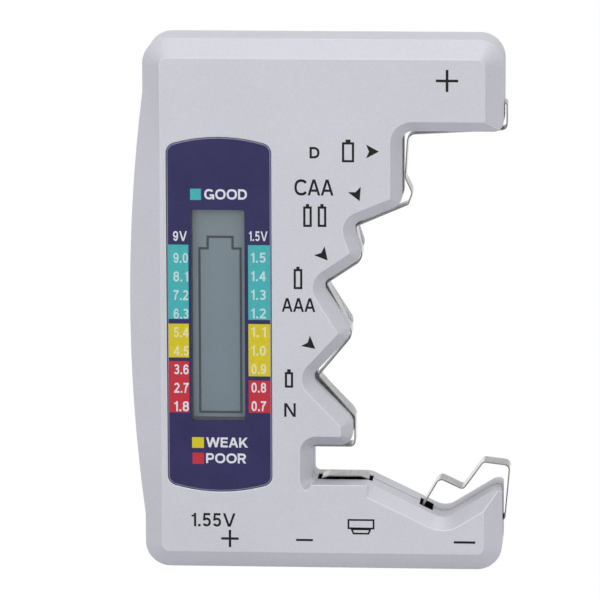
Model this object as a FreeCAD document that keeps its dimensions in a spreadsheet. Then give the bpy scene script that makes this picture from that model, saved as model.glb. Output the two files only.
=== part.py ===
"""Hand-held battery tester: a stepped mouth for round cells, a button-cell slot and 9 V plates in the base.

Millimetres. +Z is up, the face looks along -Y, X runs to the right. The origin is the centre of the base on
the parting plane of the two shells, so the front shell lies at y < 0 and the rear shell at y > 0.
Outlines are drawn as seen from the front, with x counted from the straight left side and z from the base.
"""
import FreeCAD
import Part
import Sketcher
import math
import os
import re

Vector = FreeCAD.Vector

SIZES = {
    # Case, seen from the front
    "body_width": 67.0,
    "body_height": 100.0,
    "face_corner": 1.3,
    "grip_bulge": 2.6,
    "grip_foot": 10.0,
    "grip_head": 10.0,
    # Case, front to back
    "front_depth": 8.3,
    "rear_depth": 7.3,
    "outer_bevel": 3.4,
    "mouth_bevel": 2.1,
    "bevel_depth": 2.6,
    "rear_bevel": 1.4,
    "side_wall": 2.0,
    "front_wall": 2.2,
    "rear_wall": 2.0,
    "seam_width": 0.3,
    "seam_depth": 0.2,
    # Mouth: arms, steps, noses and notches
    "top_arm_height": 17.1,
    "step_x": 48.2,
    "step_foot": 69.15,
    "step_radius": 1.9,
    "aa_notch_x": 39.0,
    "aa_notch": 65.4,
    "aa_nose_x": 41.1,
    "aa_nose": 59.45,
    "aaa_notch_x": 33.2,
    "aaa_notch": 54.1,
    "aaa_nose_x": 39.1,
    "aaa_nose": 44.9,
    "short_notch_x": 31.15,
    "short_notch": 36.4,
    "block_x": 39.0,
    "block_head": 28.3,
    "block_foot": 23.5,
    "slot_x": 31.3,
    "slot_floor": 16.35,
    "slope_x": 41.9,
    "valley_x": 56.1,
    "valley": 9.5,
    "arm_tip": 16.2,
    "nose_edge": 0.2,
    "notch_radius": 1.6,
    "slot_radius": 1.0,
    "slope_radius": 3.0,
    "valley_radius": 3.5,
    "arm_corner": 1.9,
    "tip_flat": 1.7,
    "tip_radius": 0.6,
    # Contact strips
    "strip_width": 5.0,
    "strip_thickness": 0.25,
    "channel_width": 5.8,
    "channel_depth": 1.0,
    "strip_drop": 0.85,
    "strip_proud": 0.25,
    "strip_bend": 0.5,
    "strip_reach": 0.55,
    "strip_tail": 3.2,
    "strip_entry": 5.0,
    # Positive strip beside each corner of the mouth: gap to the right, fall below
    "arm_gap": 0.95,
    "arm_fall": 1.0,
    "step_gap": 1.0,
    "step_fall": 0.45,
    "aa_notch_gap": 0.35,
    "aa_notch_fall": 0.93,
    "aa_nose_gap": -0.25,
    "aa_nose_fall": 1.15,
    "aaa_notch_gap": 0.7,
    "aaa_notch_fall": 0.45,
    "aaa_nose_gap": -0.1,
    "aaa_nose_fall": 0.82,
    "short_notch_gap": 1.2,
    "short_notch_fall": 0.34,
    # Catch on the first step; its heights are shares of the step's height
    "catch_clear": 0.45,
    "catch_proud": 1.8,
    "catch_bend": 1.5,
    "catch_rise": 0.1236,
    "catch_height": 0.2073,
    # Entries of the strips
    "slit_height": 1.2,
    "button_tail": 5.0,
    # Springs
    "spring_travel": 2.5,
    "hump_back": 1.0,
    "hump_rise": 7.2,
    "dip_rise": 5.1,
    "crest_rise": 10.4,
    "crest_fall": 0.6,
    "loop_reach": 1.3,
    "loop_root": 0.4,
    "loop_foot": 0.5,
    "foot_fall": 0.6,
    "leg_back": 5.4,
    "leg_drop": 0.4,
    "leaf_rise": 0.55,
    "leaf_step": 0.1,
    "leaf_slope": 1.35,
    "leaf_length": 8.7,
    "leaf_leg": 3.2,
    "leaf_inset": 1.7,
    "leaf_room": 0.85,
    "spring_slit": 1.75,
    # Bends of the negative spring, as shares of the lower arm's length
    "dip_out": 0.3165,
    "crest_out": 0.6651,
    # Display window
    "window_x": 14.3,
    "window_z": 48.4,
    "window_width": 19.4,
    "window_height": 66.9,
    "window_crown": 1.6,
    "window_corner": 1.9,
    "window_thickness": 0.8,
    "window_sink": 0.15,
    "window_gap": 0.12,
    "adhesive_thickness": 0.15,
    "adhesive_inset": 0.6,
    # Gauge: glass, frame and circuit board
    "gauge_x": 14.45,
    "gauge_z": 48.6,
    "view_width": 11.0,
    "view_height": 40.2,
    "glass_width": 13.6,
    "glass_height": 44.0,
    "glass_thickness": 1.0,
    "glass_ledge": 3.0,
    "polarizer_thickness": 0.2,
    "reflector_thickness": 0.3,
    "frame_depth": 4.1,
    "frame_wall": 1.5,
    "frame_lip": 0.8,
    "frame_gap": 0.2,
    "zebra_width": 2.0,
    "board_width": 19.0,
    "board_height": 60.0,
    "board_thickness": 1.6,
    "board_hole_inset": 3.0,
    "chip_x": 14.45,
    "chip_z": 54.0,
    "chip_radius": 4.5,
    "chip_rise": 1.4,
    "chip_row_drop": 14.0,
    "resistor_length": 2.0,
    "capacitor_length": 1.6,
    # Fasteners
    "board_screw": 2.0,
    "board_screw_length": 4.5,
    "board_screw_head": 3.8,
    "board_post": 5.0,
    "case_screw": 2.5,
    "case_screw_length": 9.4,
    "case_screw_head": 4.8,
    "head_height": 1.7,
    "case_post": 6.4,
    "screw_gap": 0.1,
    "counterbore": 2.5,
    "cross_width": 0.7,
    "cross_depth": 0.9,
    # 9 V plates in the base
    "block_plus_x": 16.1,
    "block_minus_x": 30.1,
    "plate_length": 6.0,
    "plate_width": 5.0,
    "plate_thickness": 0.4,
    "plate_sink": 0.3,
    "plate_gap": 0.2,
    "tag_height": 5.5,
    "tag_inset": 0.9,
    # Fixed terminals and leads
    "terminal_gap": 0.3,
    "terminal_thickness": 0.4,
    "terminal_width": 3.8,
    "terminal_height": 4.0,
    "seat_width": 2.0,
    "lead_diameter": 1.1,
}

doc = FreeCAD.newDocument("battery_tester")
sheet = doc.addObject("Spreadsheet::Sheet", "Sizes")
for row, (alias, number) in enumerate(SIZES.items(), start=1):
    sheet.set(f"A{row}", alias)
    sheet.set(f"B{row}", str(number))
    sheet.setAlias(f"B{row}", alias)
doc.recompute()

nodes = []


def bind(text):
    """A formula in the sheet's names, such as "body_width / 2", as an expression on the sheet."""
    return re.sub(r"[a-z][a-z_]+", lambda word: "Sizes." * (word.group() in SIZES) + word.group(), text)


def value(text):
    """The number that a formula gives now."""
    return float(sheet.evalExpression(bind(text)))


def drive(item, formulas):
    """Tie each property of an object to its formula."""
    for prop, text in formulas.items():
        item.setExpression(prop, bind(text))
    return item


def node(item, name):
    """Name a finished sub-part, which is written to a file of that name."""
    item.Label = name
    nodes.append(item)
    return item


# Depths along Y that several pieces share
FACE = "-front_depth"
RIM = "-(front_depth - bevel_depth)"
BACK = "rear_depth"
INNER_FACE = "-(front_depth - front_wall)"
INNER_BACK = "(rear_depth - rear_wall)"
BOARD_FRONT = f"({INNER_FACE} + frame_depth)"
BOARD_BACK = f"({BOARD_FRONT} + board_thickness)"
WINDOW_BACK = f"({FACE} + window_sink + window_thickness)"
RECESS_FLOOR = f"({WINDOW_BACK} + adhesive_thickness)"
SCREW_SEAT = f"({BACK} - counterbore)"

# Heights and radii that several pieces share
ARM = "(body_height - top_arm_height)"
NOSE = "(mouth_bevel + nose_edge)"
OUTSIDE = "10"
ROOT = "0.4"
EASY_BEND = "(1.6 * strip_bend)"
SOFT_BEND = "(2 * strip_bend)"
HALF_STRIP = "strip_width / 2"
HALF_CHANNEL = "channel_width / 2"

# Corners of the mouth from the top arm down to the lower arm: x, z, radius, and whether it is a hollow one
MOUTH = [
    ("step_x", ARM, "step_radius", True),
    ("step_x", "step_foot", NOSE, False),
    ("aa_notch_x", "aa_notch", "notch_radius", True),
    ("aa_nose_x", "aa_nose", NOSE, False),
    ("aaa_notch_x", "aaa_notch", "notch_radius", True),
    ("aaa_nose_x", "aaa_nose", NOSE, False),
    ("short_notch_x", "short_notch", "notch_radius", True),
    ("block_x", "block_head", NOSE, False),
    ("block_x", "block_foot", NOSE, False),
    ("slot_x", "block_foot", "slot_radius", True),
    ("slot_x", "slot_floor", "slot_radius", True),
    ("slope_x", "slot_floor", "slope_radius", False),
    ("valley_x", "valley", "valley_radius", True),
]
CONTACT_STEPS = 8
LOWER_ARM = "(body_width - valley_x)"
ARM_SLOPE = f"(arm_tip - valley) / {LOWER_ARM}"
STEP_WALL = f"({ARM} - step_foot)"
CATCH_BEND = f"min(catch_bend; 0.11 * {STEP_WALL})"
TIP_TOP = f"(arm_tip - tip_flat * {ARM_SLOPE})"
LEAF_LEFT = "(slot_x + leaf_inset)"
LEAF_RIGHT = f"({LEAF_LEFT} + leaf_length)"


def rounded_mouth():
    """The mouth's corners with all their radii."""
    return [(x, z, radius) for x, z, radius, hollow in MOUTH]


def tie(sketch, kind, *places):
    """Add a constraint to a sketch. The last of its places is a formula."""
    number = sketch.addConstraint(Sketcher.Constraint(kind, *places[:-1], value(places[-1])))
    sketch.setExpression(f"Constraints[{number}]", bind(places[-1]))


def draw(sketch, corners, closed=True, bulges=None):
    """Draw runs through the corners, round each corner by its radius and tie all of them to the sheet.

    A corner is (x, z, radius), with no radius for a sharp one. bulges gives the rise of a run that is an arc,
    by the number of the corner that it starts from.
    """
    bulges = bulges or {}
    count = len(corners)
    points = [Vector(value(x), value(z), 0) for x, z, radius in corners]
    arrive = list(points)
    leave = list(points)
    bends = {}
    for i, (x, z, radius) in enumerate(corners):
        if radius is None:
            continue
        back = (points[i - 1] - points[i]).normalize()
        ahead = (points[(i + 1) % count] - points[i]).normalize()
        half = back.getAngle(ahead) / 2
        reach = value(radius) / math.tan(half)
        arrive[i] = points[i] + back * reach
        leave[i] = points[i] + ahead * reach
        centre = points[i] + (back + ahead).normalize() * (value(radius) / math.sin(half))
        bends[i] = (centre, back.cross(ahead).z < 0)

    runs = []
    for i in range(count if closed else count - 1):
        start, end = leave[i], arrive[(i + 1) % count]
        if i in bulges:
            rise = value(bulges[i])
            chord = end - start
            side = Vector(chord.y, -chord.x, 0).normalize()
            runs.append(sketch.addGeometry(Part.Arc(start, (start + end) / 2 + side * rise, end)))
        else:
            runs.append(sketch.addGeometry(Part.LineSegment(start, end)))

    for i, (x, z, radius) in enumerate(corners):
        run_in = runs[i - 1] if closed or i > 0 else None
        run_out = runs[i] if i < len(runs) else None
        if i in bends:
            centre, left_turn = bends[i]
            start, end = (arrive[i], leave[i]) if left_turn else (leave[i], arrive[i])
            angles = [math.atan2(p.y - centre.y, p.x - centre.x) for p in (start, end)]
            circle = Part.Circle(centre, Vector(0, 0, 1), value(radius))
            bend = sketch.addGeometry(Part.ArcOfCircle(circle, *angles))
            corner = sketch.addGeometry(Part.Point(points[i]), True)
            sketch.addConstraint([
                Sketcher.Constraint("Tangent", run_in, 2, bend, 1 if left_turn else 2),
                Sketcher.Constraint("Tangent", bend, 2 if left_turn else 1, run_out, 1),
                Sketcher.Constraint("PointOnObject", corner, 1, run_in),
                Sketcher.Constraint("PointOnObject", corner, 1, run_out),
            ])
            tie(sketch, "Radius", bend, radius)
            place = (corner, 1)
        elif run_in is None:
            place = (run_out, 1)
        else:
            place = (run_in, 2)
            if run_out is not None:
                sketch.addConstraint(Sketcher.Constraint("Coincident", run_in, 2, run_out, 1))
        tie(sketch, "DistanceX", -1, 1, *place, x)
        tie(sketch, "DistanceY", -1, 1, *place, z)
        if i in bulges:
            length = f"({corners[i][1]} - ({corners[(i + 1) % count][1]}))"
            tie(sketch, "Radius", runs[i], f"({length}^2 / 4 + {bulges[i]}^2) / (2 * {bulges[i]})")
    return sketch


def front_sketch(name, depth, corners, closed=True, bulges=None):
    """An outline in a plane that faces the front, at the given depth."""
    sketch = doc.addObject("Sketcher::SketchObject", name)
    sketch.Placement = FreeCAD.Placement(Vector(), FreeCAD.Rotation(Vector(1, 0, 0), 90))
    drive(sketch, {"Placement.Base.x": "-body_width / 2", "Placement.Base.y": depth})
    return draw(sketch, corners, closed, bulges)


def extrude(name, profile, start, end):
    """A solid from a profile that lies at depth start, back to depth end."""
    solid = doc.addObject("Part::Extrusion", name)
    solid.Base = profile
    solid.DirMode = "Custom"
    solid.Dir = Vector(0, 1, 0)
    solid.Solid = True
    return drive(solid, {"LengthFwd": f"{end} - ({start})"})


def prism(name, corners, start, end):
    """A solid with the given outline between two depths."""
    return extrude(name, front_sketch(f"{name}_outline", start, corners), start, end)


def box(name, low, high):
    """A block between two corners, each (x from the left side, y, z)."""
    block = doc.addObject("Part::Box", name)
    spans = [f"{b} - ({a})" for a, b in zip(low, high)]
    return drive(block, {
        "Length": spans[0],
        "Width": spans[1],
        "Height": spans[2],
        "Placement.Base.x": f"{low[0]} - body_width / 2",
        "Placement.Base.y": low[1],
        "Placement.Base.z": low[2],
    })


def pin(name, x, z, start, end, radius):
    """A cylinder along Y between two depths."""
    rod = doc.addObject("Part::Cylinder", name)
    rod.Placement = FreeCAD.Placement(Vector(), FreeCAD.Rotation(Vector(1, 0, 0), -90))
    return drive(rod, {
        "Radius": radius,
        "Height": f"{end} - ({start})",
        "Placement.Base.x": f"{x} - body_width / 2",
        "Placement.Base.y": start,
        "Placement.Base.z": z,
    })


def fuse(name, *pieces):
    """One solid of several pieces."""
    if len(pieces) == 1:
        return pieces[0]
    whole = doc.addObject("Part::MultiFuse", name)
    whole.Shapes = list(pieces)
    return whole


def cut(name, base, *tools):
    """The base less all the tools."""
    rest = doc.addObject("Part::Cut", name)
    rest.Base = base
    rest.Tool = fuse(f"{name}_tools", *tools)
    return rest


def common(name, base, tool):
    """What two solids share."""
    shared = doc.addObject("Part::Common", name)
    shared.Base = base
    shared.Tool = tool
    return shared


def group(name, pieces):
    """Several separate solids in one node."""
    together = doc.addObject("Part::Compound", name)
    together.Links = pieces
    return node(together, name)


def case_corners(inset, radius):
    """The case without its mouth, drawn in by inset: four round corners and the two ends of the grip."""
    right = f"body_width - {inset}"
    top = f"body_height - {inset}"
    return [
        (inset, inset, radius),
        (right, inset, radius),
        (right, top, radius),
        (inset, top, radius),
        (inset, "body_height - grip_head", None),
        (inset, "grip_foot", None),
    ]


GRIP_BULGE = {4: "grip_bulge"}
CASE_CORNER = "(face_corner + outer_bevel)"


def case_envelope(name, sections):
    """A solid through flat outlines of the case, each (depth, inset, radius, bulges)."""
    loft = doc.addObject("Part::Loft", name)
    loft.Sections = [
        front_sketch(f"{name}_{i}", depth, case_corners(inset, radius), bulges=bulges)
        for i, (depth, inset, radius, bulges) in enumerate(sections)
    ]
    loft.Solid = True
    loft.Ruled = True
    return loft


def mouth_block(name, depth, bevel, bevel_depth, forward):
    """A block larger than the case with the mouth cut out of it, and a bevel round the mouth's outer edge."""
    far = f"(body_width + {OUTSIDE})"
    corners = [(far, ARM, None), *rounded_mouth()]
    corners += [
        (far, f"arm_tip + {ARM_SLOPE} * {OUTSIDE}", None),
        (far, f"-{OUTSIDE}", None),
        (f"-{OUTSIDE}", f"-{OUTSIDE}", None),
        (f"-{OUTSIDE}", f"body_height + {OUTSIDE}", None),
        (far, f"body_height + {OUTSIDE}", None),
    ]
    body = doc.addObject("PartDesign::Body", name)
    sketch = body.newObject("Sketcher::SketchObject", f"{name}_outline")
    plane = next(p for p in body.Origin.OriginFeatures if p.Role == "XZ_Plane")
    sketch.AttachmentSupport = [(plane, "")]
    sketch.MapMode = "FlatFace"
    drive(sketch, {"AttachmentOffset.Base.x": "-body_width / 2"})
    draw(sketch, corners)
    pad = body.newObject("PartDesign::Pad", f"{name}_pad")
    pad.Profile = sketch
    pad.Reversed = not forward
    drive(pad, {"Length": depth})
    doc.recompute()
    front = pad.Shape.BoundBox.YMin if forward else pad.Shape.BoundBox.YMax
    right = value(f"body_width / 2 + {OUTSIDE}") - 0.1
    left = value(f"-body_width / 2 - {OUTSIDE}") + 0.1
    top = value(f"body_height + {OUTSIDE}") - 0.1
    bottom = value(f"-{OUTSIDE}") + 0.1

    def on_mouth(edge):
        """Whether an edge bounds the mouth on the outer face."""
        middle = edge.CenterOfMass
        flat = all(abs(v.Y - front) < 1e-4 for v in edge.Vertexes)
        return flat and left < middle.x < right and bottom < middle.z < top

    edges = [f"Edge{i}" for i, edge in enumerate(pad.Shape.Edges, start=1) if on_mouth(edge)]
    chamfer = body.newObject("PartDesign::Chamfer", f"{name}_bevel")
    chamfer.Base = (pad, edges)
    chamfer.ChamferType = "Two distances"
    drive(chamfer, {"Size": bevel_depth, "Size2": bevel})
    return body


def corner_trims(start, end, name):
    """What is cut off the top arm's lower corner and the lower arm's tip to round them."""
    reach = "6"
    keep_arm = prism(f"{name}_arm_round", [
        ("body_width", ARM, "arm_corner"),
        ("body_width", f"{ARM} + {reach}", None),
        (f"body_width - {reach}", f"{ARM} + {reach}", None),
        (f"body_width - {reach}", ARM, None),
    ], start, end)
    arm_block = box(
        f"{name}_arm_block",
        ("body_width - arm_corner", start, f"{ARM} - 1"),
        ("body_width + 1", end, f"{ARM} + arm_corner"),
    )
    keep_tip = prism(f"{name}_tip_round", [
        ("body_width", TIP_TOP, "tip_radius"),
        ("body_width", "valley", None),
        ("valley_x", "valley", None),
        ("body_width - tip_flat", TIP_TOP, SOFT_BEND),
    ], start, end)
    tip_block = box(
        f"{name}_tip_block",
        ("body_width - 2 * tip_flat", start, f"{TIP_TOP} - 2 * tip_radius"),
        ("body_width + 1", end, "arm_tip + 1"),
    )
    return [cut(f"{name}_arm_trim", arm_block, keep_arm), cut(f"{name}_tip_trim", tip_block, keep_tip)]


def cavity(name, start, end):
    """The hollow of the case: its outline without the grip's bulge, drawn in by the side wall."""
    corners = [(x, z, radius if hollow else None) for x, z, radius, hollow in MOUTH]
    corners = [("body_width", ARM, None), *corners, ("body_width", "arm_tip", None)]
    corners += [
        ("body_width", "0", CASE_CORNER),
        ("0", "0", CASE_CORNER),
        ("0", "body_height", CASE_CORNER),
        ("body_width", "body_height", CASE_CORNER),
    ]
    inner = doc.addObject("Part::Offset2D", f"{name}_wall")
    inner.Source = front_sketch(f"{name}_outline", start, corners)
    drive(inner, {"Value": "-side_wall"})
    return extrude(name, inner, start, end)


def strip(name, corners):
    """A bent strip of sheet metal: its middle line widened to its thickness, centred on the parting plane."""
    start = f"-{HALF_STRIP}"
    band = doc.addObject("Part::Offset2D", f"{name}_band")
    band.Source = front_sketch(f"{name}_line", start, corners, closed=False)
    band.Mode = "Pipe"
    drive(band, {"Value": "strip_thickness / 2"})
    return node(extrude(name, band, start, HALF_STRIP), name)


def positive_line():
    """The positive strip's middle line, from its tail in the top arm to its tail by the button-cell slot."""
    right = "body_width + strip_reach"

    def beside(corner, radius):
        """A bend that stands off a corner of the mouth by that corner's own gap and fall."""
        return (f"{corner}_x + {corner}_gap", f"{corner} - {corner}_fall", radius)

    return [
        ("body_width - strip_tail", f"{ARM} + strip_entry", None),
        (right, f"{ARM} + strip_entry", "strip_bend"),
        (right, ARM, SOFT_BEND),
        ("step_x + arm_gap", f"{ARM} - arm_fall", CATCH_BEND),
        ("step_x + catch_clear", f"step_foot + (catch_rise + catch_height) * {STEP_WALL}", CATCH_BEND),
        ("step_x + catch_proud", f"step_foot + catch_rise * {STEP_WALL}", CATCH_BEND),
        ("step_x + step_gap", "step_foot - step_fall", "strip_bend"),
        beside("aa_notch", "strip_bend"),
        beside("aa_nose", NOSE),
        beside("aaa_notch", "strip_bend"),
        beside("aaa_nose", NOSE),
        beside("short_notch", "strip_bend"),
        ("block_x + strip_proud", "block_head", "strip_bend"),
        ("block_x + strip_proud", "block_foot - strip_drop", SOFT_BEND),
        ("slot_x - button_tail", "block_foot - strip_drop", None),
    ]


def negative_line():
    """The negative spring's middle line: leg in the lower arm, hump, dip, crest, loop and foot."""
    return [
        ("valley_x - leg_back", "valley - leg_drop", None),
        ("valley_x - hump_back", "valley + hump_rise", SOFT_BEND),
        (f"valley_x + dip_out * {LOWER_ARM}", "valley + dip_rise", EASY_BEND),
        (f"valley_x + crest_out * {LOWER_ARM}", "valley + crest_rise", EASY_BEND),
        ("body_width + loop_reach", "valley + crest_rise - crest_fall", SOFT_BEND),
        ("body_width + loop_root", "valley - loop_foot", "strip_bend"),
        ("body_width - strip_tail", "valley - loop_foot - foot_fall", None),
    ]


def leaf_line():
    """The button-cell leaf's middle line: a low bow with sloping ends, on two legs in the floor's opening."""
    foot = "slot_floor - leaf_leg"
    step = "slot_floor + leaf_step"
    crown = "slot_floor + leaf_rise"
    return [
        (LEAF_LEFT, foot, None),
        (LEAF_LEFT, step, "strip_bend"),
        (f"{LEAF_LEFT} + leaf_slope", crown, EASY_BEND),
        (f"{LEAF_RIGHT} - leaf_slope", crown, EASY_BEND),
        (LEAF_RIGHT, step, "strip_bend"),
        (LEAF_RIGHT, foot, None),
    ]


def contact_openings(name, start, end):
    """Cuts for the contacts: the channel down the steps and the slits that legs and tails pass through."""
    lower = f"block_foot - {OUTSIDE} / 5"
    far = f"body_width + {OUTSIDE}"
    steps = [(far, ARM, None), *rounded_mouth()[:CONTACT_STEPS], ("block_x", lower, None), (far, lower, None)]
    sketch = front_sketch(f"{name}_steps", start, steps)
    wide = doc.addObject("Part::Offset2D", f"{name}_wide")
    wide.Source = sketch
    wide.Join = "Intersection"
    drive(wide, {"Value": "channel_depth"})
    channel = extrude(f"{name}_channel", wide, start, end)
    inside = "body_width - side_wall - 0.5"
    outside = "body_width + 0.5"
    tail = box(
        f"{name}_top_slit",
        (inside, start, f"{ARM} + strip_entry - strip_thickness / 2"),
        (outside, end, f"{ARM} + strip_entry + strip_thickness / 2"),
    )
    foot = box(
        f"{name}_foot_slit",
        (inside, start, "valley - loop_foot - foot_fall - spring_travel - slit_height / 2"),
        (outside, end, "valley - loop_foot + slit_height / 2"),
    )
    button = box(
        f"{name}_button_slit",
        ("slot_x - side_wall - 0.5", start, "block_foot - strip_drop - strip_thickness / 2"),
        ("slot_x + 0.5", end, "block_foot - strip_drop + strip_thickness / 2"),
    )
    leaf = box(
        f"{name}_leaf_opening",
        (f"{LEAF_LEFT} - leaf_room", start, "slot_floor - side_wall - 1.2"),
        (f"{LEAF_RIGHT} + leaf_room", end, "slot_floor + 0.3"),
    )
    lean = "((leg_back - hump_back) / (hump_rise + leg_drop))"
    low = "(valley - leg_drop - side_wall)"
    high = "(valley + 4.2)"
    edge = f"(valley_x - leg_back - side_wall * {lean} - spring_slit / 2)"
    lift = f"({high} - {low}) * {lean}"
    leg = prism(f"{name}_leg_slit", [
        (edge, low, None),
        (f"{edge} + spring_slit + spring_travel * {lean}", low, None),
        (f"{edge} + spring_slit + spring_travel * {lean} + {lift}", high, None),
        (f"{edge} + {lift}", high, None),
    ], start, end)
    return [channel, tail, foot, button, leg, leaf]


SCREW_PLACES = [
    ("9", "body_height - 7.5"),
    ("56", "body_height - top_arm_height / 2"),
    ("8", "8"),
    ("slope_x + 1.6", "6.2"),
]
BOARD_PLACES = [
    ("gauge_x", "gauge_z - board_height / 2 + board_hole_inset"),
    ("gauge_x", "gauge_z + board_height / 2 - board_hole_inset"),
]


def plate_pockets(name, start, end):
    """Cuts in the base for the 9 V plates and for the tags that stand up from them."""
    tools = []
    for side, x in (("plus", "block_plus_x"), ("minus", "block_minus_x")):
        half = "(plate_length / 2 + plate_gap)"
        tools.append(box(
            f"{name}_{side}_pocket",
            (f"{x} - {half}", start, "-1"),
            (f"{x} + {half}", end, "plate_sink + plate_thickness"),
        ))
        tag = f"({x} - plate_length / 2 + tag_inset)"
        tools.append(box(
            f"{name}_{side}_slit",
            (f"{tag} - plate_thickness / 2 - plate_gap", start, "0"),
            (f"{tag} + plate_thickness / 2 + plate_gap", end, "side_wall + 0.5"),
        ))
    return tools


def window_plate(name, front, thickness, grow):
    """A plate with straight sides, crowned ends and round corners: the window, larger by grow all round."""
    body = doc.addObject("PartDesign::Body", name)
    sketch = body.newObject("Sketcher::SketchObject", f"{name}_outline")
    plane = next(p for p in body.Origin.OriginFeatures if p.Role == "XZ_Plane")
    sketch.AttachmentSupport = [(plane, "")]
    sketch.MapMode = "FlatFace"
    drive(sketch, {"AttachmentOffset.Base.x": "-body_width / 2", "AttachmentOffset.Base.z": f"-({front})"})
    half = f"(window_width / 2 + {grow})"
    shoulder = f"(window_height / 2 + {grow} - window_crown)"
    left, right = f"window_x - {half}", f"window_x + {half}"
    low, high = f"window_z - {shoulder}", f"window_z + {shoulder}"
    x0, x1, z0, z1 = value(left), value(right), value(low), value(high)
    crown = value("window_crown")
    middle = value("window_x")
    runs = [
        Part.LineSegment(Vector(x1, z0, 0), Vector(x1, z1, 0)),
        Part.Arc(Vector(x1, z1, 0), Vector(middle, z1 + crown, 0), Vector(x0, z1, 0)),
        Part.LineSegment(Vector(x0, z1, 0), Vector(x0, z0, 0)),
        Part.Arc(Vector(x0, z0, 0), Vector(middle, z0 - crown, 0), Vector(x1, z0, 0)),
    ]
    numbers = [sketch.addGeometry(run) for run in runs]
    for i in range(4):
        sketch.addConstraint(Sketcher.Constraint("Coincident", numbers[i], 2, numbers[(i + 1) % 4], 1))
    for run, end, x, z in ((0, 1, right, low), (0, 2, right, high), (2, 1, left, high), (2, 2, left, low)):
        tie(sketch, "DistanceX", -1, 1, numbers[run], end, x)
        tie(sketch, "DistanceY", -1, 1, numbers[run], end, z)
    for run in (1, 3):
        tie(sketch, "Radius", numbers[run], f"({half}^2 + window_crown^2) / (2 * window_crown)")
    pad = body.newObject("PartDesign::Pad", f"{name}_pad")
    pad.Profile = sketch
    pad.Reversed = True
    drive(pad, {"Length": thickness})
    doc.recompute()
    upright = [
        f"Edge{i}"
        for i, edge in enumerate(pad.Shape.Edges, start=1)
        if abs(edge.Vertexes[0].Y - edge.Vertexes[-1].Y) > 1e-6
    ]
    rounding = body.newObject("PartDesign::Fillet", f"{name}_corners")
    rounding.Base = (pad, upright)
    drive(rounding, {"Radius": f"window_corner + {grow}"})
    return body


def gauge_box(name, width, bottom, top, start, end):
    """A block centred on the gauge, between two heights and two depths."""
    return box(
        name,
        (f"gauge_x - ({width}) / 2", start, bottom),
        (f"gauge_x + ({width}) / 2", end, top),
    )


def front_shell():
    """The front half: bevelled face, mouth, window recess, view, posts and the openings for the contacts."""
    envelope = case_envelope("front_envelope", [
        ("0", "0", CASE_CORNER, GRIP_BULGE),
        (RIM, "0", CASE_CORNER, GRIP_BULGE),
        (FACE, "outer_bevel", "face_corner", None),
    ])
    block = mouth_block("front_mouth", "front_depth", "mouth_bevel", "bevel_depth", True)
    lip_block = box(
        "slot_lip_block",
        ("slot_x - mouth_bevel", FACE, "slot_floor - mouth_bevel - 0.2"),
        ("slope_x", RIM, "slot_floor"),
    )
    lip_end = pin("slot_lip_end", "slot_x - mouth_bevel / 2", "slot_floor", FACE, RIM, "mouth_bevel / 2")
    skin = fuse("front_skin", common("front_solid", envelope, block), cut("slot_lip", lip_block, lip_end))
    hollow = cut("front_hollow", skin, cavity("front_cavity", INNER_FACE, "0"))
    posts = []
    pilots = []
    for i, (x, z) in enumerate(SCREW_PLACES):
        posts.append(pin(f"front_post_{i}", x, z, f"{INNER_FACE} - {ROOT}", "0", "case_post / 2"))
        tip = f"{SCREW_SEAT} - case_screw_length - 0.5"
        pilots.append(pin(f"front_pilot_{i}", x, z, tip, "1", "case_screw / 2 + screw_gap / 2"))
    for i, (x, z) in enumerate(BOARD_PLACES):
        posts.append(pin(f"board_post_{i}", x, z, f"{INNER_FACE} - {ROOT}", BOARD_FRONT, "board_post / 2"))
        tip = f"{BOARD_BACK} - board_screw_length - 0.4"
        pilots.append(pin(f"board_pilot_{i}", x, z, tip, "0", "board_screw / 2 + screw_gap / 2"))
    recess = window_plate("window_recess", f"{FACE} - 1", f"{RECESS_FLOOR} - ({FACE} - 1)", "window_gap")
    view = gauge_box(
        "view_opening", "view_width", "gauge_z - view_height / 2", "gauge_z + view_height / 2",
        f"{RECESS_FLOOR} - 0.5", f"{INNER_FACE} + 0.5",
    )
    openings = contact_openings("front", f"-{HALF_CHANNEL}", "1")
    pockets = plate_pockets("front", "-(plate_width / 2 + plate_gap)", "1")
    trims = corner_trims(f"{FACE} - 1", "1", "front")
    whole = fuse("front_with_posts", hollow, *posts)
    return node(cut("front_shell", whole, recess, view, *pilots, *openings, *pockets, *trims), "front_shell")


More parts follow.
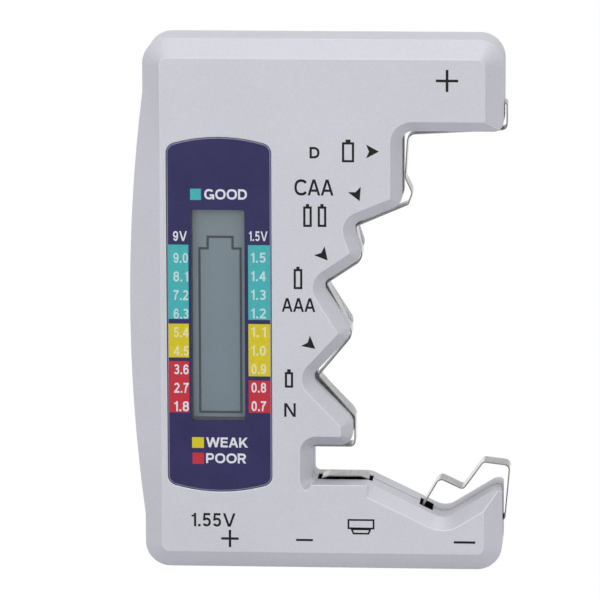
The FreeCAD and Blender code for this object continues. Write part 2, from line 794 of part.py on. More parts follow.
def rear_shell():
    """The rear half: flat back, mouth, screw bosses, terminal seats and a shadow line at the seam."""
    edge = f"({BACK} - rear_bevel)"
    envelope = case_envelope("rear_envelope", [
        ("0", "0", CASE_CORNER, GRIP_BULGE),
        (edge, "0", CASE_CORNER, GRIP_BULGE),
        (BACK, "rear_bevel", f"{CASE_CORNER} - rear_bevel", GRIP_BULGE),
    ])
    block = mouth_block("rear_mouth", "rear_depth", "rear_bevel", "rear_bevel", False)
    solid = common("rear_solid", envelope, block)
    hollow = cut("rear_hollow", solid, cavity("rear_cavity", "0", INNER_BACK))
    bosses = []
    holes = []
    head_room = "case_screw_head / 2 + 3 * screw_gap"
    for i, (x, z) in enumerate(SCREW_PLACES):
        bosses.append(pin(f"rear_boss_{i}", x, z, "0", f"{INNER_BACK} + {ROOT}", "case_post / 2"))
        holes.append(pin(f"rear_hole_{i}", x, z, "-1", f"{BACK} - 0.1", "case_screw / 2 + 2 * screw_gap"))
        holes.append(pin(f"rear_counterbore_{i}", x, z, SCREW_SEAT, f"{BACK} + 1", head_room))
    seats = [
        box(
            f"{name}_seat",
            (f"{x} - seat_width / 2", TERMINAL_BACK, f"{z} - terminal_height / 2"),
            (f"{x} + seat_width / 2", f"{INNER_BACK} + {ROOT}", f"{z} - terminal_height / 2 + seat_width"),
        )
        for name, x, z in TERMINALS
    ]
    openings = contact_openings("rear", "-1", HALF_CHANNEL)
    pockets = plate_pockets("rear", "-1", "plate_width / 2 + plate_gap")
    trims = corner_trims("-1", f"{BACK} + 1", "rear")
    inset = case_corners("seam_depth", f"{CASE_CORNER} - seam_depth")
    outline = front_sketch("seam_outline", "-1", inset, bulges=GRIP_BULGE)
    keep = extrude("seam_keep", outline, "-1", "seam_width")
    around = box(
        "seam_block",
        (f"-{OUTSIDE}", "-1", f"-{OUTSIDE}"),
        (f"body_width + {OUTSIDE}", "seam_width", f"body_height + {OUTSIDE}"),
    )
    ring = cut("seam_ring", around, keep)
    whole = fuse("rear_with_bosses", hollow, *bosses, *seats)
    return node(cut("rear_shell", whole, ring, *holes, *openings, *pockets, *trims), "rear_shell")


TERMINAL_FRONT = f"({HALF_STRIP} + terminal_gap)"
TERMINAL_BACK = f"({TERMINAL_FRONT} + terminal_thickness)"
TERMINALS = [
    ("negative_terminal", "valley_x - leg_back + 0.4", "valley - 3"),
    ("button_terminal", "slot_x + 1.7", "slot_floor - 4.6"),
]


def terminals():
    """Fixed plates behind the springs' legs, each on a seat of the rear shell."""
    for name, x, z in TERMINALS:
        plate = box(
            name,
            (f"{x} - terminal_width / 2", TERMINAL_FRONT, f"{z} - terminal_height / 2"),
            (f"{x} + terminal_width / 2", TERMINAL_BACK, f"{z} + terminal_height / 2"),
        )
        node(plate, name)


def display():
    """The printed window, its ring of adhesive, and the gauge in its frame on the circuit board."""
    node(window_plate("display_window", f"{FACE} + window_sink", "window_thickness", "0"), "display_window")
    tape = window_plate("tape_sheet", WINDOW_BACK, "adhesive_thickness", "-adhesive_inset")
    gap = "2 * adhesive_inset"
    hole = gauge_box(
        "tape_hole", f"view_width + {gap}", "gauge_z - view_height / 2 - adhesive_inset",
        "gauge_z + view_height / 2 + adhesive_inset", f"{WINDOW_BACK} - 1", f"{WINDOW_BACK} + 1",
    )
    node(cut("window_adhesive", tape, hole), "window_adhesive")

    low, high = "(gauge_z - glass_height / 2)", "(gauge_z + glass_height / 2)"
    inner = f"({low} + glass_ledge)"
    depths = [INNER_FACE]
    for thickness in ("polarizer_thickness", "glass_thickness", "glass_thickness", "reflector_thickness"):
        depths.append(f"({depths[-1]} + {thickness})")
    layers = [
        ("lcd_front_polarizer", f"{low} + frame_lip", f"{high} - frame_lip", "glass_width - 2 * frame_gap"),
        ("lcd_front_glass", low, high, "glass_width"),
        ("lcd_rear_glass", inner, high, "glass_width"),
        ("lcd_reflector", inner, high, "glass_width"),
    ]
    for i, (name, bottom, top, width) in enumerate(layers):
        node(gauge_box(name, width, bottom, top, depths[i], depths[i + 1]), name)

    rim = "(frame_gap + frame_wall)"
    before = f"{INNER_FACE} - 1"
    block = gauge_box(
        "lcd_frame_block", f"glass_width + 2 * {rim}", f"{low} - {rim}", f"{high} + {rim}",
        INNER_FACE, BOARD_FRONT,
    )
    pocket = gauge_box(
        "lcd_frame_pocket", "glass_width + 2 * frame_gap", f"{low} - frame_gap", f"{high} + frame_gap",
        before, depths[-1],
    )
    through = gauge_box(
        "lcd_frame_through", "glass_width - 2 * frame_lip", f"{low} - frame_gap", f"{high} - frame_lip",
        before, f"{BOARD_FRONT} + 1",
    )
    node(cut("lcd_frame", block, pocket, through), "lcd_frame")
    zebra = gauge_box(
        "zebra_connector", "glass_width - 4 * frame_lip",
        f"{low} + frame_gap", f"{low} + frame_gap + zebra_width", depths[2], BOARD_FRONT,
    )
    node(zebra, "zebra_connector")


def circuit():
    """The board with its holes, the cap over its chip and two rows of small parts on its back."""
    low, high = "gauge_z - board_height / 2", "gauge_z + board_height / 2"
    blank = gauge_box("board_blank", "board_width", low, high, BOARD_FRONT, BOARD_BACK)
    holes = [
        pin(f"board_hole_{i}", x, z, f"{BOARD_FRONT} - 1", f"{BOARD_BACK} + 1", "board_screw / 2 + screw_gap")
        for i, (x, z) in enumerate(BOARD_PLACES)
    ]
    node(cut("circuit_board", blank, *holes), "circuit_board")

    ball = "((chip_radius^2 + chip_rise^2) / (2 * chip_rise))"
    cap = doc.addObject("Part::Sphere", "chip_cover")
    cap.Placement = FreeCAD.Placement(Vector(), FreeCAD.Rotation(Vector(1, 0, 0), -90))
    drive(cap, {
        "Radius": ball,
        "Angle1": f"asin(({ball} - chip_rise) / {ball})",
        "Placement.Base.x": "chip_x - body_width / 2",
        "Placement.Base.y": f"{BOARD_BACK} - ({ball} - chip_rise)",
        "Placement.Base.z": "chip_z",
    })
    node(cap, "chip_cover")

    rows = [
        ("chip_resistors", "resistor_length", "gauge_x - board_width / 2 + 1.4", 6),
        ("chip_capacitors", "capacitor_length", "gauge_x + board_width / 2 - 3.2", 4),
    ]
    for name, length, x, count in rows:
        chips = []
        for i in range(count):
            z = f"chip_z - chip_row_drop + {i} * 2 * {length}"
            chips.append(box(
                f"{name}_{i}",
                (x, BOARD_BACK, z),
                (f"{x} + {length}", f"{BOARD_BACK} + {length} * 0.35", f"{z} + {length} * 0.6"),
            ))
        group(name, chips)


def screw(name, x, z, seat, thread, length, head):
    """A round-headed screw whose head sits on a face that looks back, with a cross in the head."""
    top = f"({seat} + head_height)"
    body = fuse(
        f"{name}_body",
        pin(f"{name}_head", x, z, seat, top, f"{head} / 2"),
        pin(f"{name}_shank", x, z, f"{seat} - {length}", seat, f"{thread} / 2"),
    )
    long, short = f"{head} * 0.3", "cross_width / 2"
    slots = [
        box(
            f"{name}_cross_{i}",
            (f"{x} - {across}", f"{top} - cross_depth", f"{z} - {up}"),
            (f"{x} + {across}", f"{top} + 1", f"{z} + {up}"),
        )
        for i, (across, up) in enumerate(((long, short), (short, long)))
    ]
    return cut(name, body, *slots)


def fasteners():
    """Four case screws in the back and two board screws."""
    group("case_screws", [
        screw(f"case_screw_{i}", x, z, SCREW_SEAT, "case_screw", "case_screw_length", "case_screw_head")
        for i, (x, z) in enumerate(SCREW_PLACES)
    ])
    group("board_screws", [
        screw(f"board_screw_{i}", x, z, BOARD_BACK, "board_screw", "board_screw_length", "board_screw_head")
        for i, (x, z) in enumerate(BOARD_PLACES)
    ])


def nine_volt_plates():
    """Two plates let into the base, each with a tag that stands up through the base wall."""
    for side, x in (("positive", "block_plus_x"), ("negative", "block_minus_x")):
        name = f"nine_volt_{side}_contact"
        top = "(plate_sink + plate_thickness)"
        plate = box(
            f"{name}_plate",
            (f"{x} - plate_length / 2", "-plate_width / 2", "plate_sink"),
            (f"{x} + plate_length / 2", "plate_width / 2", top),
        )
        tag = f"({x} - plate_length / 2 + tag_inset)"
        upright = box(
            f"{name}_tag",
            (f"{tag} - plate_thickness / 2", "-(plate_width / 2 - 0.5)", "plate_sink"),
            (f"{tag} + plate_thickness / 2", "plate_width / 2 - 0.5", f"{top} + tag_height"),
        )
        node(fuse(name, plate, upright), name)


def lead(name, points):
    """An insulated lead: a round tube along straight runs joined by arcs as large as the runs allow."""
    points = [Vector(x - value("body_width / 2"), y, z) for x, y, z in points]
    radius = value("lead_diameter / 2")
    edges = []
    start = points[0]
    for before, corner, after in zip(points, points[1:], points[2:]):
        back = before - corner
        ahead = after - corner
        reach = 0.45 * min(back.Length, ahead.Length)
        half_turn = (math.pi - back.getAngle(ahead)) / 2
        bend = reach / math.tan(half_turn)
        back.normalize()
        ahead.normalize()
        arrive = corner + back * reach
        leave = corner + ahead * reach
        inward = (back + ahead).normalize()
        middle = corner + inward * (bend / math.cos(half_turn) - bend)
        edges.append(Part.LineSegment(start, arrive).toShape())
        edges.append(Part.Arc(arrive, middle, leave).toShape())
        start = leave
    edges.append(Part.LineSegment(start, points[-1]).toShape())
    path = Part.Wire(edges)
    section = Part.Wire(Part.Circle(points[0], points[1] - points[0], radius).toShape())
    tube = path.makePipeShell([section], True, False)
    expected = math.pi * radius ** 2 * path.Length
    if abs(tube.Volume / expected - 1) > 0.01:
        raise ValueError(f"{name} isn't an even tube")
    item = doc.addObject("Part::Feature", name)
    item.Shape = tube
    item.Placement = FreeCAD.Placement()
    node(item, name)


def leads():
    """Leads from the contacts to the foot of the board's back, as (x from the left side, y, z)."""
    pad = value(BOARD_BACK)
    beside_tag = value("plate_thickness / 2 + lead_diameter / 2") + 0.05
    plus = value("block_plus_x - plate_length / 2 + tag_inset") + beside_tag
    minus = value("block_minus_x - plate_length / 2 + tag_inset") - beside_tag
    on_tail = value("block_foot - strip_drop + strip_thickness / 2 + lead_diameter / 2") + 0.05
    behind = value(f"{TERMINAL_BACK} + lead_diameter / 2") + 0.05
    lead("nine_volt_positive_lead", [
        (plus, 0, 2.8), (plus, 0, 8.5), (11.5, 1.6, 13.0), (8.0, 2.6, 17.0), (8.0, 2.6, 21.5),
        (8.0, pad, 21.5),
    ])
    lead("nine_volt_negative_lead", [
        (minus, 0, 2.8), (minus, 0, 8.0), (20.0, 0.6, 12.0), (13.0, 2.0, 15.0), (11.0, 2.6, 20.5),
        (11.0, pad, 20.5),
    ])
    lead("negative_lead", [
        (52.4, behind, 7.6), (49.0, behind, 7.9), (44.5, behind, 10.6), (38.0, behind, 8.6), (30.0, 3.6, 7.6),
        (22.5, 3.2, 12.0), (18.5, 2.8, 17.0), (18.5, 2.6, 21.5), (18.5, pad, 21.5),
    ])
    lead("button_lead", [
        (34.4, behind, 12.9), (30.2, behind, 12.9), (25.5, 3.4, 15.0), (22.0, 2.8, 18.5), (21.8, 2.6, 22.5),
        (21.8, pad, 22.5),
    ])
    lead("positive_lead", [
        (28.8, 0, on_tail), (25.6, 0.4, on_tail), (22.6, 2.2, 25.4), (20.2, 2.4, 27.6), (20.2, pad, 27.6),
    ])


front_shell()
rear_shell()
display()
circuit()
fasteners()
strip("positive_contact_strip", positive_line())
strip("negative_spring", negative_line())
strip("button_cell_spring", leaf_line())
terminals()
nine_volt_plates()
leads()
doc.recompute()

for item in doc.Objects:
    if "Invalid" in item.State or "Error" in item.State:
        raise RuntimeError(f"{item.Label} failed: {item.State}")
for item in nodes:
    if item.Shape.isNull() or not item.Shape.isValid():
        raise RuntimeError(f"{item.Label} has no valid shape")

os.makedirs("parts", exist_ok=True)
for item in nodes:
    item.Shape.exportStep(f"parts/{item.Label}.step")
    print(item.Label, len(item.Shape.Solids), "solids,", round(item.Shape.Volume, 1), "mm3")
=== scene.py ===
"""Looks of the battery tester: finishes, printed window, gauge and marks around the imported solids."""
import math

import bpy
import numpy as np
from mathutils import Matrix, Vector, geometry

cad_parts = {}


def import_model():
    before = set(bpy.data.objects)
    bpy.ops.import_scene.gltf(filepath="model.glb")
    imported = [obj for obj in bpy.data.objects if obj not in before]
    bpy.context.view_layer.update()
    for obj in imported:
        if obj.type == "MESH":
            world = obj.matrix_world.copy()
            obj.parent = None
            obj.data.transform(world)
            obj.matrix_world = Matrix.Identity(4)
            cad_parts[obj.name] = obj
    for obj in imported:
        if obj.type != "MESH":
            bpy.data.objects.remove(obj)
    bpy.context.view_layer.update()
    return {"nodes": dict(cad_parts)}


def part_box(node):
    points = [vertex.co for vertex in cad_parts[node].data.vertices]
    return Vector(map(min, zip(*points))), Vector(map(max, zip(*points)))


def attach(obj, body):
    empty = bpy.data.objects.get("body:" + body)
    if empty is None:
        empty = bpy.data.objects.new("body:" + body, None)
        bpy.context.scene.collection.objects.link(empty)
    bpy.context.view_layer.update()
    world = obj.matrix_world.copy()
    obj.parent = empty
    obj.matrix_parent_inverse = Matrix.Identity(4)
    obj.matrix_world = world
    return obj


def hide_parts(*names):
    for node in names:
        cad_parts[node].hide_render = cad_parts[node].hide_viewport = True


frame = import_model()

# Places on the front are in mm: x from the case's left side, z from the base, and the depth as y in the frame
MM = 0.001
SIDE = -33.5          # x of the case's left side in the frame
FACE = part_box("front_shell")[0].y / MM
WINDOW_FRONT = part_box("display_window")[0].y / MM
WINDOW_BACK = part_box("display_window")[1].y / MM
GAUGE_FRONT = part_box("lcd_front_polarizer")[0].y / MM
INK = 0.012           # thickness of a printed layer
SEAM = 0.45           # width of the shadow line between the two halves of the case


# Surfaces

def piece(name, points, faces, finish, slot, body="case"):
    """A mesh in metres from points in mm, with its finish, riding on a body."""
    points = np.array(points, float)
    points[:, 0] += SIDE
    mesh = bpy.data.meshes.new(name)
    mesh.from_pydata((points * MM).tolist(), [], [list(face) for face in faces])
    mesh.materials.append(finish)
    mesh.update()
    thing = bpy.data.objects.new(name, mesh)
    bpy.context.scene.collection.objects.link(thing)
    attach(thing, body)
    return thing


def triangles(faces):
    """Each four-sided face (a, b, c, d) as (a, b, c) and (a, c, d); three-sided faces stay."""
    faces = np.asarray(faces, int)
    if faces.shape[1] == 3:
        return faces
    return np.vstack([faces[:, [0, 1, 2]], faces[:, [0, 2, 3]]])


def together(shapes):
    """Several flat shapes as one: points stacked, each shape's faces moved on by the points before it."""
    counts = [len(points) for points, faces in shapes]
    starts = np.concatenate([[0], np.cumsum(counts)[:-1]])
    flat = np.vstack([points for points, faces in shapes])
    parts = [triangles(faces) for points, faces in shapes]
    return flat, np.vstack([faces + start for faces, start in zip(parts, starts)])


def film(shape, front, back):
    """A closed thin layer from a flat shape in (x, z).

    The faces lie at the front depth, the same faces turned round lie at the back depth, and an edge that
    only one face has gets a wall between the two depths.
    """
    flat, faces = shape
    count = len(flat)
    layers = [at_depth(flat, front), at_depth(flat, back)]
    start, end = np.stack([faces, np.roll(faces, -1, axis=1)], axis=-1).reshape(-1, 2).T
    free = ~np.isin(start * count + end, end * count + start)
    start, end = start[free], end[free]
    walls = np.column_stack([end, start, start + count, end + count])
    return np.vstack(layers), faces.tolist() + (faces[:, ::-1] + count).tolist() + walls.tolist()


def at_depth(loop, depth):
    """Points in (x, z) as points in space at one depth."""
    return np.column_stack([loop[:, 0], np.full(len(loop), depth), loop[:, 1]])


def block(x0, x1, z0, z1):
    """A filled upright rectangle: its four corners, anticlockwise."""
    return np.array([(x0, z0), (x1, z0), (x1, z1), (x0, z1)], float), np.array([[0, 1, 2, 3]])


def outline(loop, line):
    """A line of even width round a closed loop.

    At each corner both sides lie half a line along the mitre of its two runs' normals,
    (n1 + n2) / (1 + n1.n2).
    """
    loop = np.asarray(loop, float)
    run = np.roll(loop, -1, axis=0) - loop
    run /= np.linalg.norm(run, axis=1, keepdims=True)
    normal = np.column_stack([run[:, 1], -run[:, 0]])
    before = np.roll(normal, 1, axis=0)
    mitre = (normal + before) / (1 + np.sum(normal * before, axis=1, keepdims=True))
    count = len(loop)
    here = np.arange(count)
    ahead = np.roll(here, -1)
    faces = np.column_stack([here + count, here, ahead, ahead + count])
    return np.vstack([loop + mitre * line / 2, loop - mitre * line / 2]), faces


def stroke(points, line, level=(False, False)):
    """A line of even width along open points, with the mitres of outline().

    Its first and last ends are square to their runs, or cut level where level says so.
    """
    points = np.asarray(points, float)
    run = np.diff(points, axis=0)
    run /= np.linalg.norm(run, axis=1, keepdims=True)
    normal = np.column_stack([run[:, 1], -run[:, 0]])
    before = np.vstack([normal[:1], normal])
    after = np.vstack([normal, normal[-1:]])
    mitre = (before + after) / (1 + np.sum(before * after, axis=1, keepdims=True))
    for end in (0, -1):
        if level[end]:
            mitre[end] = (1 / normal[end][0], 0.0)
    count = len(points)
    here = np.arange(count - 1)
    faces = np.column_stack([here + count, here, here + 1, here + 1 + count])
    return np.vstack([points + mitre * line / 2, points - mitre * line / 2]), faces


def merged(shapes):
    """Flat shapes that overlap, as one shape without overlap: the triangles that lie in any of them.

    Twice a triangle's area is (b - a) x (c - a), above zero where its corners run anticlockwise.
    """
    least_area, near = 1e-9, 1e-6
    every_triangle = 0
    flat, faces = together(shapes)
    a, b, c = flat[faces].transpose(1, 0, 2)
    area = (b - a)[:, 0] * (c - a)[:, 1] - (b - a)[:, 1] * (c - a)[:, 0]
    faces = faces[area > least_area]
    cut = geometry.delaunay_2d_cdt(flat.tolist(), [], faces.tolist(), every_triangle, near)
    points, parts, owners = cut[0], cut[2], cut[5]
    return np.array(points), np.array([part for part, owner in zip(parts, owners) if owner])


def barrel(x, z, width, height, crown, corner, rings=10):
    """A closed outline with straight sides, ends that rise by the crown, and round corners, anticlockwise.

    An end is an arc of radius R = (w^2 / 4 + crown^2) / (2 crown). A corner's centre is one corner radius
    inside the side, and R less one corner radius from the end arc's centre.
    """
    half = width / 2
    radius = (half ** 2 + crown ** 2) / (2 * crown)
    middle = height / 2 - radius
    hub_x = half - corner
    hub_z = middle + math.sqrt((radius - corner) ** 2 - hub_x ** 2)
    lean = math.atan2(hub_z - middle, hub_x)
    turn = np.linspace(0, lean, rings)
    bend = np.column_stack([hub_x + corner * np.cos(turn), hub_z + corner * np.sin(turn)])
    sweep = np.linspace(lean, math.pi - lean, 2 * rings)[1:-1]
    end = np.column_stack([radius * np.cos(sweep), middle + radius * np.sin(sweep)])
    top = np.vstack([bend, end, bend[::-1] * (-1, 1)])
    return np.vstack([top, -top]) + (x, z)


def inward(loop):
    """The unit direction into an anticlockwise loop at each point: the mean of its two runs, turned left."""
    run = np.roll(loop, -1, axis=0) - np.roll(loop, 1, axis=0)
    run /= np.linalg.norm(run, axis=1, keepdims=True)
    return np.column_stack([-run[:, 1], run[:, 0]])


def ring(sections):
    """A closed hoop from loops of points in space, joined in turn and the last to the first."""
    sections = np.array(sections)
    rows, count = sections.shape[:2]
    row = np.arange(rows)[:, None]
    column = np.arange(count)[None, :]
    beyond, ahead = (row + 1) % rows, (column + 1) % count
    corners = [
        row * count + column, row * count + ahead, beyond * count + ahead, beyond * count + column,
    ]
    faces = np.stack(np.broadcast_arrays(*corners), axis=-1).reshape(-1, 4)
    return sections.reshape(-1, 3), faces


# Lettering: plain strokes in boxes one unit high, with a line as a share of the height

SQUARE = 0.86         # power that squares the ovals; 1 leaves them round
POINT = 1.1           # a point's side, in lines
WAIST = 0.53          # height of the middle of 3 and 8
BOTH_LEVEL = (True, True)
END_LEVEL = (False, True)
WIDTHS = {
    "A": 0.94, "C": 0.96, "D": 0.86, "E": 0.7, "G": 0.96, "K": 0.86, "N": 0.8, "O": 1.0, "P": 0.78,
    "R": 0.8, "V": 0.94, "W": 1.34, "0": 0.62, "1": 0.5, "2": 0.62, "3": 0.62, "4": 0.66, "5": 0.62,
    "6": 0.62, "7": 0.62, "8": 0.62, "9": 0.62,
}


def oval(x, z, across, up, start=0.0, stop=360.0, steps=15):
    """Points on a squared oval about (x, z) between two angles t: x + across C and z + up S.

    C and S are cos t and sin t raised to the power SQUARE with their signs kept.
    """
    turn = np.radians(np.linspace(start, stop, steps))
    way = np.column_stack([np.cos(turn), np.sin(turn)])
    return np.sign(way) * np.abs(way) ** SQUARE * (across, up) + (x, z)


def hoop(x, z, across, up, line, steps=25):
    """A line of even width round a whole oval, whose last point is its first."""
    return outline(oval(x, z, across, up, steps=steps)[:-1], line)


def straight_letter(sign, wide, line):
    """The strokes of A, E, K, N, V or W.

    Stems and bars are blocks. Slanting lines are strokes, cut level at the base and at the top.
    """
    stem = block(0, line, 0, 1)
    if sign in "AV":
        foot, apex = 0.56 * line, wide / 2 - 0.1 * line
        low, high = (0, 1) if sign == "A" else (1, 0)
        legs = [
            stroke([(foot, low), (apex, high)], line, BOTH_LEVEL),
            stroke([(wide - foot, low), (wide - apex, high)], line, BOTH_LEVEL),
        ]
        cross_bar = block(0.27 * wide, 0.73 * wide, 0.23, 0.23 + 0.9 * line)
        return legs + [cross_bar] if sign == "A" else legs
    if sign == "W":
        tip, foot = 0.54 * line, 0.27 * wide
        turns = [(tip, 1), (foot, 0), (wide / 2, 1), (wide - foot, 0), (wide - tip, 1)]
        return [stroke(run, line, BOTH_LEVEL) for run in zip(turns[:-1], turns[1:])]
    if sign == "N":
        corner = 0.62 * line
        diagonal = stroke([(corner, 1), (wide - corner, 0)], line, BOTH_LEVEL)
        return [stem, block(wide - line, wide, 0, 1), diagonal]
    if sign == "E":
        low = 0.52 - line / 2
        middle = block(0, 0.94 * wide, low, low + line)
        return [stem, block(0, wide, 1 - line, 1), middle, block(0, wide, 0, line)]
    arm = stroke([(line / 2, 0.28), (wide - 0.75 * line, 1)], line, END_LEVEL)
    leg = stroke([(0.36 * wide, 0.6), (wide - 0.6 * line, 0)], line, END_LEVEL)
    return [stem, arm, leg]


def round_letter(sign, wide, line):
    """The strokes of C, D, G, O, P or R.

    A bowl is half an oval with a level run back to the stem at each end. O is a whole oval, and C and G are
    ovals that are open on the right.
    """
    half = line / 2
    top = 1 - half
    if sign in "DPR":
        low, flat = {"D": (half, 0.4), "P": (0.43, 0.55), "R": (0.46, 0.55)}[sign]
        across, up = (1 - flat) * wide - half, (top - low) / 2
        bow = oval(flat * wide, (top + low) / 2, across, up, start=90, stop=-90)
        strokes = [block(0, line, 0, 1), stroke(np.vstack([(half, top), bow, (half, low)]), line)]
        if sign == "R":
            strokes.append(stroke([(0.55 * wide, 0.5), (wide - half, 0)], line, END_LEVEL))
        return strokes
    if sign == "O":
        return [hoop(wide / 2, 0.5, wide / 2 - half, 0.5 - half, line, steps=37)]
    stop = 322 if sign == "C" else 345
    bow = oval(wide / 2, 0.5, wide / 2 - half, 0.5 - half, start=38, stop=stop, steps=25)
    strokes = [stroke(bow, line)]
    if sign == "G":
        strokes += [block(0.54 * wide, wide, 0.5 - line, 0.5), block(wide - 0.8 * line, wide, 0, 0.5)]
    return strokes


def digit(sign, wide, line):
    """The strokes of a digit: bows are parts of ovals, and straight runs are blocks or strokes.

    A 9 is a 6 given half a turn, so each point becomes (width, 1) less itself.
    """
    half = line / 2
    top = 1 - half
    middle, reach = wide / 2, wide / 2 - half
    if sign == "0":
        return [hoop(middle, 0.5, reach, 0.5 - half, line, steps=37)]
    if sign == "1":
        flag = stroke([(wide - half, top), (0.36, 0.82), (0.16, 0.77)], 0.8 * line)
        return [block(wide - line, wide, 0, 1), flag]
    if sign == "2":
        bow = oval(middle, 0.7, reach, 0.3 - half, start=165, stop=-30)
        return [stroke(np.vstack([bow, (half, half)]), line), block(0, wide, 0, line)]
    if sign == "3":
        notch = (0.38 * wide, WAIST)
        upper = oval(middle, (top + WAIST) / 2, 0.95 * reach, (top - WAIST) / 2, start=160, stop=-90)
        lower = oval(middle, (WAIST + half) / 2, reach, (WAIST - half) / 2, start=90, stop=-160)
        return [stroke(np.vstack([upper, notch]), line), stroke(np.vstack([notch, lower]), line)]
    if sign == "4":
        peak, stem, sill = 0.4588, 0.496, 0.22
        slope = stroke([(peak, top), (half, sill + half)], line)
        upright = block(stem - 0.6 * line, stem + 0.4 * line, 0, 1)
        return [slope, block(0, wide, sill, sill + line), upright]
    if sign == "5":
        bow = oval(middle, 0.33, reach, 0.33 - half, start=135, stop=-155, steps=19)
        back = stroke([(0.14 * wide + half, 1), (0.05 * wide + half, 0.44)], 0.9 * line)
        return [block(0.14 * wide, 0.94 * wide, 1 - line, 1), back, stroke(bow, line)]
    if sign == "7":
        leg = stroke([(wide - half, top), (0.42 * wide, 0.5), (0.3 * wide, 0)], line, END_LEVEL)
        return [block(0, wide, 1 - line, 1), leg]
    if sign == "8":
        return [hoop(middle, (WAIST + half) / 2, reach, (WAIST - half) / 2, line),
                hoop(middle, (top + WAIST) / 2, 0.92 * reach, (top - WAIST) / 2, line)]
    tail = np.vstack([oval(middle, 0.5, reach, 0.5 - half, start=30, stop=180), (half, 0.33)])
    six = [hoop(middle, 0.33, reach, 0.33 - half, line), stroke(tail, line)]
    return six if sign == "6" else [((wide, 1) - points, faces) for points, faces in six]


def sign_strokes(sign, line):
    """The width and the strokes of a point, a digit or a capital letter."""
    if sign == ".":
        return POINT * line, [block(0, POINT * line, 0, POINT * line)]
    wide = WIDTHS[sign]
    if sign.isdigit():
        return wide, digit(sign, wide, line)
    if sign in "AEKNVW":
        return wide, straight_letter(sign, wide, line)
    return wide, round_letter(sign, wide, line)


def lettering(words, x, z, width, height, line, gap=0.14):
    """The words in plain strokes, stretched to a width and a height about (x, z)."""
    shapes, place = [], 0.0
    for sign in words:
        wide, strokes = sign_strokes(sign, line)
        shapes += [(points + (place, 0.0), faces) for points, faces in strokes]
        place += wide + gap
    flat, faces = merged(shapes)
    low, high = flat.min(axis=0), flat.max(axis=0)
    return (flat - (low + high) / 2) / (high - low) * (width, height) + (x, z), faces


# Finishes

def tone(red, green, blue):
    """A colour as it looks on a screen, 0 to 255, as light: the sRGB curve undone."""
    share = np.array([red, green, blue]) / 255
    light = np.where(share <= 0.04045, share / 12.92, ((share + 0.055) / 1.055) ** 2.4)
    return (*light.tolist(), 1.0)


def add(tree, kind, inputs=None, **settings):
    """A node with its settings, and with values or links on its inputs."""
    node = tree.nodes.new(kind)
    for key, setting in settings.items():
        setattr(node, key, setting)
    for key, source in (inputs or {}).items():
        if isinstance(source, bpy.types.NodeSocket):
            tree.links.new(source, node.inputs[key])
        else:
            node.inputs[key].default_value = source
    return node


def math_node(tree, operation, *sources):
    """A number worked out from one or two others."""
    return add(tree, "ShaderNodeMath", dict(enumerate(sources)), operation=operation).outputs["Value"]


def new_material(name, **sockets):
    """A new material, its tree, its shader with the sockets that don't vary, and Object coordinates."""
    material = bpy.data.materials.new(name)
    material.use_nodes = True
    tree = material.node_tree
    shader = tree.nodes["Principled BSDF"]
    for key, setting in sockets.items():
        shader.inputs[key.replace("_", " ")].default_value = setting
    place = add(tree, "ShaderNodeTexCoord").outputs["Object"]
    return material, tree, shader, place


def noise(tree, place, size, detail=3.0, stretch=None):
    """Soft noise whose blotches are about size mm across, drawn out along the axes by stretch."""
    if stretch:
        place = add(tree, "ShaderNodeMapping", {"Vector": place, "Scale": stretch}).outputs["Vector"]
    inputs = {"Vector": place, "Scale": 1 / (size * MM), "Detail": detail, "Roughness": 0.55}
    return add(tree, "ShaderNodeTexNoise", inputs).outputs["Fac"]


def between(tree, share, low, high, start=0.3, stop=0.7):
    """A number from low to high as the share goes from start to stop."""
    inputs = {"Value": share, "From Min": start, "From Max": stop, "To Min": low, "To Max": high}
    return add(tree, "ShaderNodeMapRange", inputs).outputs["Result"]


def shades(tree, share, stops):
    """A colour ramp through (position, colour) stops."""
    ramp = add(tree, "ShaderNodeValToRGB", {"Fac": share})
    band = ramp.color_ramp
    for position, colour in stops[1:-1]:
        band.elements.new(position).color = colour
    band.elements[0].position, band.elements[0].color = stops[0]
    band.elements[-1].position, band.elements[-1].color = stops[-1]
    return ramp.outputs["Color"]


def mixed(tree, share, first, second, blend="MIX"):
    """Two colours mixed by a share: a Mix node's colours are its inputs 6 and 7 and its output 2."""
    node = add(tree, "ShaderNodeMix", data_type="RGBA", blend_type=blend)
    for socket, source in ((node.inputs[0], share), (node.inputs[6], first), (node.inputs[7], second)):
        if isinstance(source, bpy.types.NodeSocket):
            tree.links.new(source, socket)
        else:
            socket.default_value = source
    return node.outputs[2]


def eased_normal(tree, radius, samples=8):
    """The normal as if every edge were rounded by a radius in mm."""
    return add(tree, "ShaderNodeBevel", {"Radius": radius * MM}, samples=samples).outputs["Normal"]


def rough_normal(tree, height, strength, depth, normal):
    """A normal roughened by a height, by a depth in mm."""
    relief = {"Height": height, "Strength": strength, "Distance": depth * MM, "Normal": normal}
    return add(tree, "ShaderNodeBump", relief).outputs["Normal"]


def grained(name, dark, light, size, rough, bump=0.0, stretch=None, **sockets):
    """A plain finish: noise of one size moves its colour, its roughness and, by bump mm, its surface."""
    material, tree, shader, place = new_material(name, **sockets)
    grain = noise(tree, place, size, stretch=stretch)
    tree.links.new(shades(tree, grain, [(0.3, dark), (0.7, light)]), shader.inputs["Base Color"])
    tree.links.new(between(tree, grain, *rough), shader.inputs["Roughness"])
    if bump:
        relief = {"Height": grain, "Strength": 1.0, "Distance": bump * MM}
        tree.links.new(add(tree, "ShaderNodeBump", relief).outputs["Normal"], shader.inputs["Normal"])
    return material


